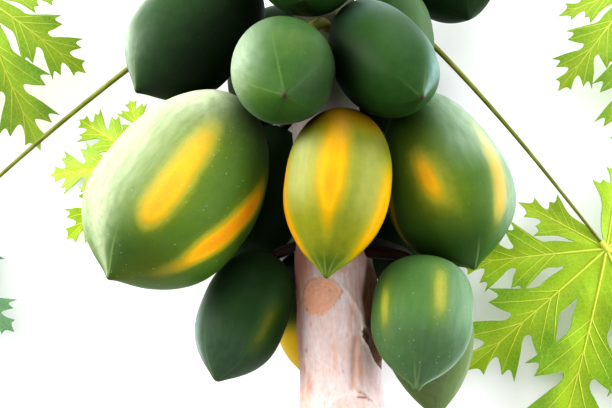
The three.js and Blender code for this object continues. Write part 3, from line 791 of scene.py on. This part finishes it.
GREEN_STOPS = [
    (0, (0.009, 0.041, 0.01, 1)),
    (0.12, (0.032, 0.092, 0.009, 1)),
    (0.26, (0.078, 0.125, 0.003, 1)),
    (0.38, (0.235, 0.23, 0.012, 1)),
    (0.48, (0.37, 0.25, 0.001, 1)),
    (0.62, (0.57, 0.31, 0, 1)),
    (0.8, (0.65, 0.252, 0, 1)),
    (1, (0.56, 0.16, 0, 1)),
]
SPECK_PALE = (0.42, 0.48, 0.30, 1)
RIDGE_PALE = (0.30, 0.38, 0.14, 1)
BLOOM_AND_SHEEN_PALE = (0.66, 0.71, 0.50, 1)
BLOOM_AND_SKY_SHEEN_BLUE = (0.34, 0.52, 0.54, 1)
SCAR_BROWN = (0.045, 0.018, 0.018, 1)


def rind_paint(tree, here):
    """Waxy rind: green turning gold with ripeness, finely speckled, with a brown flower scar, pale bloom
    with painted sheen, and painted shade.
    """
    streaked = stretched(tree, attribute(tree, "growth", "Vector"), (1, 1, 0.25))
    waver = worked(tree, "MULTIPLY_ADD", noisy(tree, here, 90, 5), 0.08, -0.04)
    colour = ramped(tree, worked(tree, "ADD", "ripeness", waver), GREEN_STOPS)
    colour = mottled(tree, colour, here, 26, 0.25)
    colour = mottled(tree, colour, streaked, 240, 0.16)
    colour = mottled(tree, colour, here, 620, 0.26)
    # Pale waxy bloom with painted highlight and sky reflection laid in, bluer as cool grows
    bloom_and_sheen_colour = mixed(tree, "cool", BLOOM_AND_SHEEN_PALE, BLOOM_AND_SKY_SHEEN_BLUE)
    worn = ramped(tree, noisy(tree, streaked, 130, 5), [(0.32, grey(0.64)), (0.68, grey(1))])
    colour = mixed(tree, worked(tree, "MULTIPLY", worn, "bloom_and_sheen"), toned(tree, colour, "tone_and_painted_shade"), bloom_and_sheen_colour)
    dots = add_node(tree, "ShaderNodeTexVoronoi", {"Vector": here, "Scale": 165})
    dot = ramped(tree, dots.outputs["Distance"], [(0.07, grey(1)), (0.16, grey(0))])
    some = ramped(tree, dots.outputs["Color"], [(0.35, grey(0)), (0.85, grey(0.6))])
    chosen = mixed(tree, 1, dot, some, "MULTIPLY")
    colour = mixed(tree, worked(tree, "MULTIPLY", chosen, "specks"), colour, SPECK_PALE)
    colour = mixed(tree, worked(tree, "MULTIPLY", "ridge", 0.36), colour, RIDGE_PALE)
    colour = mixed(tree, "flower_scar", colour, mottled(tree, SCAR_BROWN, here, 700, 0.8))
    return colour, noisy(tree, here, 650, 3), 0.25, 0.25 * MM


green_rind = painted("green_rind", 0.52, 0.08, rind_paint)
ripe_rind = painted("ripe_rind", 0.48, 0.08, rind_paint)
for name, look in FRUIT.items():
    fruit = make_fruit(name, {**USUAL_LOOK, **look})
    is_ripe = name.startswith("ripe")
    fruit.data.materials.append(ripe_rind if is_ripe else green_rind)
    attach(fruit, "root")
    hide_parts("fruit_" + name)

# Stalks
# The short thick stalks of the fruit and the long hollow ones of the leaves are smooth and
# green-skinned. Each node's shape is rounded and its skin dressed.
STALK_OLIVE = (0.120, 0.126, 0.016, 1)
STALK_LIGHT = (0.195, 0.215, 0.035, 1)
STALK_YOUNG = (0.330, 0.350, 0.050, 1)
STALK_BROWN_SHADED = (0.014, 0.005, 0.003, 1)
OLD_SHADED_FRUIT = ("low_", "ripe_", "rear_", "high_rear_", "big_")  # their stalks have turned brown, and are painted near black as the shade among the fruit
YOUNG_FRUIT = ("high_front", "high_right")  # theirs are still yellow-green
# What a stalk's radius gains before it is rounded. Rounding takes as much off a fruit's stalk, and a
# leaf's is finer than its node.
GAIN = {"fruit": 0.55 * MM, "leaf": -0.4 * MM}


def stalk_paint(tree, here):
    """Olive skin with lighter streaks and fine specks, yellower on young stalks, and brown darkened with
    painted shade on old ones.
    """
    colour = ramped(tree, noisy(tree, here, 45), [(0.35, STALK_OLIVE), (0.7, STALK_LIGHT)])
    colour = mixed(tree, "young", colour, STALK_YOUNG)
    # Old stalks brown, painted near black as the shade among the fruit
    colour = mixed(tree, "browned_and_shaded", colour, STALK_BROWN_SHADED)
    return mottled(tree, colour, here, 500, 0.3), noisy(tree, here, 800), 0.3, 0.3 * MM


def pick_only(piece):
    """Makes a piece the one that the next operators work on."""
    bpy.ops.object.select_all(action="DESELECT")
    piece.select_set(True)
    bpy.context.view_layer.objects.active = piece


def dressed_copy(node_name, name, gain):
    """A node's shape as a piece of its own: merged, fattened by a gain in radius, and rounded."""
    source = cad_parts[node_name]
    piece = source.copy()
    piece.data = source.data.copy()
    piece.name = name
    for key in list(piece.keys()):
        del piece[key]
    bpy.context.scene.collection.objects.link(piece)
    pick_only(piece)
    bpy.ops.object.mode_set(mode="EDIT")
    bpy.ops.mesh.select_mode(type="VERT")
    bpy.ops.mesh.select_all(action="SELECT")
    bpy.ops.mesh.remove_doubles(threshold=0.01 * MM)
    bpy.ops.mesh.tris_convert_to_quads()
    bpy.ops.transform.shrink_fatten(value=gain)
    bpy.ops.object.mode_set(mode="OBJECT")
    rounding = piece.modifiers.new("rounding", "SUBSURF")
    rounding.levels = rounding.render_levels = 2
    bpy.ops.object.modifier_apply(modifier="rounding")
    bpy.ops.object.shade_smooth()
    return piece


stalk_skin = painted("stalk_skin", 0.5, 0.15, stalk_paint)
for node_name in sorted(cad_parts):
    if "_stalk_" in node_name:
        kind = node_name.split("_")[0]
        stalk = dressed_copy(node_name, node_name.replace("_stalk_", "_stem_"), GAIN[kind])
        for age, fruits in (("browned_and_shaded", OLD_SHADED_FRUIT), ("young", YOUNG_FRUIT)):
            share = float(node_name.startswith(tuple("fruit_stalk_" + name for name in fruits)))
            set_attribute(stalk.data, age, share)
        stalk.data.materials.clear()
        stalk.data.materials.append(stalk_skin)
        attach(stalk, "root")
        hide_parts(node_name)

# Leaf blades
# Each leaf is a soft broad blade of nine fingers, cut again into pointed lobes with round bays
# between. The face seen here is its underside, where pale ribs stand proud and fan from a boss.
OUTERMOST = 4  # the fingers are counted from -4 to 4, with the longest at 0
FINGERS = range(-OUTERMOST, OUTERMOST + 1)
LOBE_TURN = math.radians(36)
LOBE_SHORTENING = 0.55
SHORTENING_BEND = 1.8
WEB_REACH = 0.29  # where the bay between two fingers ends, as a share of the shorter one
BACK_OF_BLADE = 5 * MM  # how far the blade reaches behind its boss
BLADE_FOLD = 0.16  # how steeply it rises from each rib
BLADE_DROOP = 1.7
BLADE_THICKNESS = 1.3 * MM
SOLID_BLADE_THICKNESS = 5.5 * MM
TIPS_ABOVE_GROUND = 3 * MM
RIPPLE_HEIGHT = 3.5 * MM
RIPPLE_CROWDING = 26  # a metre
RIPPLE_FADE = 60  # a metre: the blade lies flat along its ribs
RIB_GLOW = 40 * MM  # the blade is yellower this near a rib
BOSS_LENGTH = 12 * MM
BOSS_RADII = (4.5 * MM, 5 * MM)
BLADE_CELL = 9 * MM
BAY_STEPS = 4
# One side of a finger from its foot to its tip: distance along the rib and off it as shares of
# the finger's length. A corner is rounded unless it is marked as a tip.
FINGER_EDGE = [
    (0.36, 0.095), (0.42, 0.085), (0.5, 0.15), (0.62, 0.262, "tip"),
    (0.595, 0.185), (0.67, 0.205, "tip"), (0.64, 0.12), (0.61, 0.072),
    (0.66, 0.06), (0.735, 0.13), (0.85, 0.215, "tip"), (0.81, 0.14),
    (0.875, 0.145, "tip"), (0.835, 0.085), (0.82, 0.045), (0.875, 0.045),
    (0.945, 0.08, "tip"), (0.935, 0.034),
]
SMALL_FINGER_EDGE = [
    (0.36, 0.11), (0.5, 0.12), (0.7, 0.255, "tip"), (0.67, 0.16),
    (0.73, 0.15, "tip"), (0.69, 0.07), (0.76, 0.06), (0.88, 0.12, "tip"),
    (0.86, 0.05),
]
OUTERMOST_FOOT = (0.2, 0.1)
SIDE_VEINS = [(0.34, 0.6, 0.235), (0.4, 0.655, 0.19), (0.5, 0.83, 0.195), (0.6, 0.86, 0.132),
              (0.76, 0.93, 0.068)]  # where each leaves the rib, then where it ends
RIB_RADII = (2.1 * MM, 0.45 * MM)
RIB_STEPS = 14
RIB_END = 0.985
VEIN_RADII = (0.95 * MM, 0.25 * MM)
VEIN_STEPS = 10
VEIN_BOW = 1.15
VEIN_INSET = 0.6 * MM  # a side vein ends this far inside the blade's edge
# end and before: the leaf stalk's end and the place where it comes from, in mm from the trunk's foot.
# heading: turn of the middle finger from +X in degrees; lobe: its length; shade: 0 for a leaf in
# the blue shade, 1 for one with the light through it
LEAVES = {
    "right": dict(end=(325, 286, -82), before=(280, 342, -72), heading=-67, lobe=275, shade=1.0),
    "left": dict(end=(-531, 285, -80), before=(-389, 408, -52), heading=-150, lobe=230, shade=0.1),
    "upper_left": dict(end=(-459, 604, -24), before=(-291, 684, 4), heading=-142, lobe=234, shade=0.9),
    "upper_right": dict(end=(365, 612, -24), before=(251, 684, 4), heading=-20, lobe=225, shade=0.9),
    "lower_left": dict(end=(-249, 402, -104), before=(-229, 462, -104), heading=-142, lobe=150,
                       shade=1.0),
}


def finger_length(k, lobe):
    """Length of finger k. The outer fingers are shorter."""
    return lobe * (1 - LOBE_SHORTENING * abs(k / OUTERMOST) ** SHORTENING_BEND)


def off_nearest_rib(plan):
    """How far a place of the plan lies off the nearest finger's rib."""
    turn = math.atan2(plan.y, plan.x)
    k = min(max(round(turn / LOBE_TURN), -OUTERMOST), OUTERMOST)
    return plan.length * abs(math.sin(turn - k * LOBE_TURN))


def turned(x, y, turn):
    """A place in plan, turned round the boss."""
    return Vector((x * math.cos(turn) - y * math.sin(turn), x * math.sin(turn) + y * math.cos(turn)))


def on_finger(k, lobe, along, aside):
    """A place on finger k in the blade's plan, in metres from the boss."""
    length = finger_length(k, lobe)
    return turned(along * length, aside * length, k * LOBE_TURN)


def blade_corners(lobe):
    """The corners of a blade's outline in order, each with whether it is a tip."""
    along, aside = OUTERMOST_FOOT
    corners = [(Vector((-BACK_OF_BLADE, 0)), False), (on_finger(-OUTERMOST, lobe, along, -aside), False)]
    for k in FINGERS:
        edge = SMALL_FINGER_EDGE if abs(k) == OUTERMOST else FINGER_EDGE
        corners += [(on_finger(k, lobe, along, -aside), bool(tip)) for along, aside, *tip in edge]
        corners.append((on_finger(k, lobe, 1, 0), True))
        corners += [(on_finger(k, lobe, along, aside), bool(tip)) for along, aside, *tip in reversed(edge)]
        if k < OUTERMOST:
            reach = WEB_REACH * min(finger_length(k, lobe), finger_length(k + 1, lobe))
            corners.append((turned(reach, 0, (k + 0.5) * LOBE_TURN), False))
    return corners + [(on_finger(OUTERMOST, lobe, *OUTERMOST_FOOT), False)]


def blade_outline(lobe):
    """The outline, with each bay rounded off between the middles of the edges that meet there."""
    corners = blade_corners(lobe)
    outline = []
    for i, (corner, is_tip) in enumerate(corners):
        if is_tip:
            outline.append(corner)
            continue
        start = (corners[i - 1][0] + corner) / 2
        end = (corners[(i + 1) % len(corners)][0] + corner) / 2
        for step in range(BAY_STEPS):
            t = (step + 0.5) / BAY_STEPS
            outline.append(start * (1 - t) ** 2 + corner * 2 * t * (1 - t) + end * t * t)
    return outline


def blade_height(plan, leaf, hub):
    """How high the blade is over its boss. It folds up from each rib and droops to the tips."""
    off_rib = off_nearest_rib(plan)
    fall = hub.z - TIPS_ABOVE_GROUND - SOLID_BLADE_THICKNESS / 2
    wave = noise.noise(Vector((plan.x, plan.y, leaf["lobe"])) * RIPPLE_CROWDING)
    ripple = RIPPLE_HEIGHT * wave * min(off_rib * RIPPLE_FADE, 1)
    droop = fall * (plan.length / (leaf["lobe"] * MM)) ** BLADE_DROOP
    return BLADE_FOLD * off_rib - droop + ripple


def leaf_place(leaf, plan, hub, lift=0.0):
    """A place of the blade's plan on the finished blade."""
    place = turned(plan.x, plan.y, math.radians(leaf["heading"]))
    return hub + Vector((*place, blade_height(plan, leaf, hub) + lift))


def make_blade(name, leaf, hub):
    """A filled ring of the outline's corners, cut along its ribs and into cells, then lifted."""
    outline = blade_outline(leaf["lobe"] * MM)
    bpy.ops.mesh.primitive_circle_add(vertices=len(outline), radius=1, fill_type="NGON")
    blade = bpy.context.object
    blade.name = "blade_" + name
    for vertex, corner in zip(blade.data.vertices, outline):
        vertex.co = (corner.x, corner.y, 0)
    bpy.ops.object.mode_set(mode="EDIT")
    bpy.ops.mesh.select_all(action="SELECT")
    bpy.ops.mesh.quads_convert_to_tris(ngon_method="CLIP")
    planes = [((0, 0, 0), (*turned(0, 1, k * LOBE_TURN), 0)) for k in FINGERS]
    cells = int(leaf["lobe"] * MM / BLADE_CELL)
    for step in range(-cells, cells + 1):
        place = step * BLADE_CELL
        planes += [((place, 0, 0), (1, 0, 0)), ((0, place, 0), (0, 1, 0))]
    for place, normal in planes:
        bpy.ops.mesh.select_all(action="SELECT")
        bpy.ops.mesh.bisect(plane_co=place, plane_no=normal)
    bpy.ops.object.mode_set(mode="OBJECT")
    off_rib = []
    for vertex in blade.data.vertices:
        plan = Vector((vertex.co.x, vertex.co.y))
        off_rib.append(min(off_nearest_rib(plan) / RIB_GLOW, 1))
        vertex.co = leaf_place(leaf, plan, hub)
    set_attribute(blade.data, "off_rib", off_rib)
    set_attribute(blade.data, "shade", leaf["shade"])
    wall = blade.modifiers.new("wall", "SOLIDIFY")
    wall.thickness = BLADE_THICKNESS
    wall.offset = 0
    bpy.ops.object.modifier_apply(modifier="wall")
    return blade


def rib_lines(leaf, hub, boss_start):
    """The boss, the ribs and the side veins of a leaf: a line of places, then its two radii."""
    lobe = leaf["lobe"] * MM
    lift = BLADE_THICKNESS / 2
    outline = [tuple(corner) for corner in blade_outline(lobe)]
    yield [boss_start, (boss_start + hub) / 2, hub, hub + (hub - boss_start) / 3], BOSS_RADII
    for k in FINGERS:
        size = finger_length(k, lobe) / lobe
        steps = [step / RIB_STEPS * RIB_END for step in range(RIB_STEPS + 1)]
        places = [leaf_place(leaf, on_finger(k, lobe, step, 0), hub, lift) for step in steps]
        yield places, (RIB_RADII[0] * (0.6 + 0.4 * size), RIB_RADII[1])
        for start, along, aside in SIDE_VEINS:
            for hand in (-1, 1):
                places = []
                for step in range(VEIN_STEPS + 1):
                    t = step / VEIN_STEPS
                    bowed = start + (along - start) * t
                    plan = on_finger(k, lobe, bowed, hand * aside * t ** VEIN_BOW)
                    if depth_in(outline, plan.x, plan.y) < VEIN_INSET:
                        break
                    places.append(leaf_place(leaf, plan, hub, lift))
                if len(places) > 1:
                    yield places, (VEIN_RADII[0] * size, VEIN_RADII[1])


def make_ribs(name, leaf, hub, boss_start):
    """Every rib is a tapering round strand, half sunk in the blade."""
    strands = bpy.data.curves.new("ribs_" + name, "CURVE")
    strands.dimensions = "3D"
    strands.bevel_depth = 1.0
    strands.bevel_resolution = 1
    strands.use_fill_caps = True
    for places, (start, end) in rib_lines(leaf, hub, boss_start):
        line = strands.splines.new("POLY")
        line.points.add(len(places) - 1)
        for i, (point, place) in enumerate(zip(line.points, places)):
            point.co = (*place, 1)
            point.radius = start + (end - start) * i / (len(places) - 1)
    ribs = bpy.data.objects.new("ribs_" + name, strands)
    bpy.context.scene.collection.objects.link(ribs)
    pick_only(ribs)
    bpy.ops.object.convert(target="MESH")
    bpy.ops.object.shade_smooth()
    return bpy.context.object


LEAF_DEEP = (0.135, 0.275, 0.005, 1)
LEAF_BRIGHT = (0.270, 0.400, 0.006, 1)
LEAF_SHADED = (0.10, 0.24, 0.15, 1)
RIB_YELLOW = (0.50, 0.56, 0.05, 1)


def blade_paint(tree, here):
    """Thin green blade, yellower by its ribs, with a fine net of veins."""
    colour = ramped(tree, "off_rib", [(0, LEAF_BRIGHT), (0.9, LEAF_DEEP)])
    colour = mottled(tree, mixed(tree, "shade", LEAF_SHADED, colour), here, 30, 0.5)
    inputs = {"Vector": here, "Scale": 170}
    net = add_node(tree, "ShaderNodeTexVoronoi", inputs, feature="DISTANCE_TO_EDGE").outputs["Distance"]
    colour = mixed(tree, ramped(tree, net, [(0, grey(0.25)), (0.09, grey(0))]), colour, RIB_YELLOW)
    return colour, net, 0.3, 0.4 * MM


def rib_paint(tree, here):
    """Smooth yellow-green ribs, with no relief."""
    return [mixed(tree, "shade", LEAF_SHADED, mottled(tree, RIB_YELLOW, here, 120, 0.3))]


leaf_green = painted("leaf_green", 0.5, 0.3, blade_paint)
rib_skin = painted("rib_skin", 0.45, 0.5, rib_paint)
for name, leaf in LEAVES.items():
    end, before = (foot + Vector(leaf[place]) * MM for place in ("end", "before"))
    hub = end + (end - before).normalized() * BOSS_LENGTH
    blade = make_blade(name, leaf, hub)
    blade.data.materials.append(leaf_green)
    ribs = make_ribs(name, leaf, hub, end)
    set_attribute(ribs.data, "shade", leaf["shade"])
    ribs.data.materials.append(rib_skin)
    for piece in (blade, ribs):
        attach(piece, "root")
        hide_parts("leaf_blade_" + name)
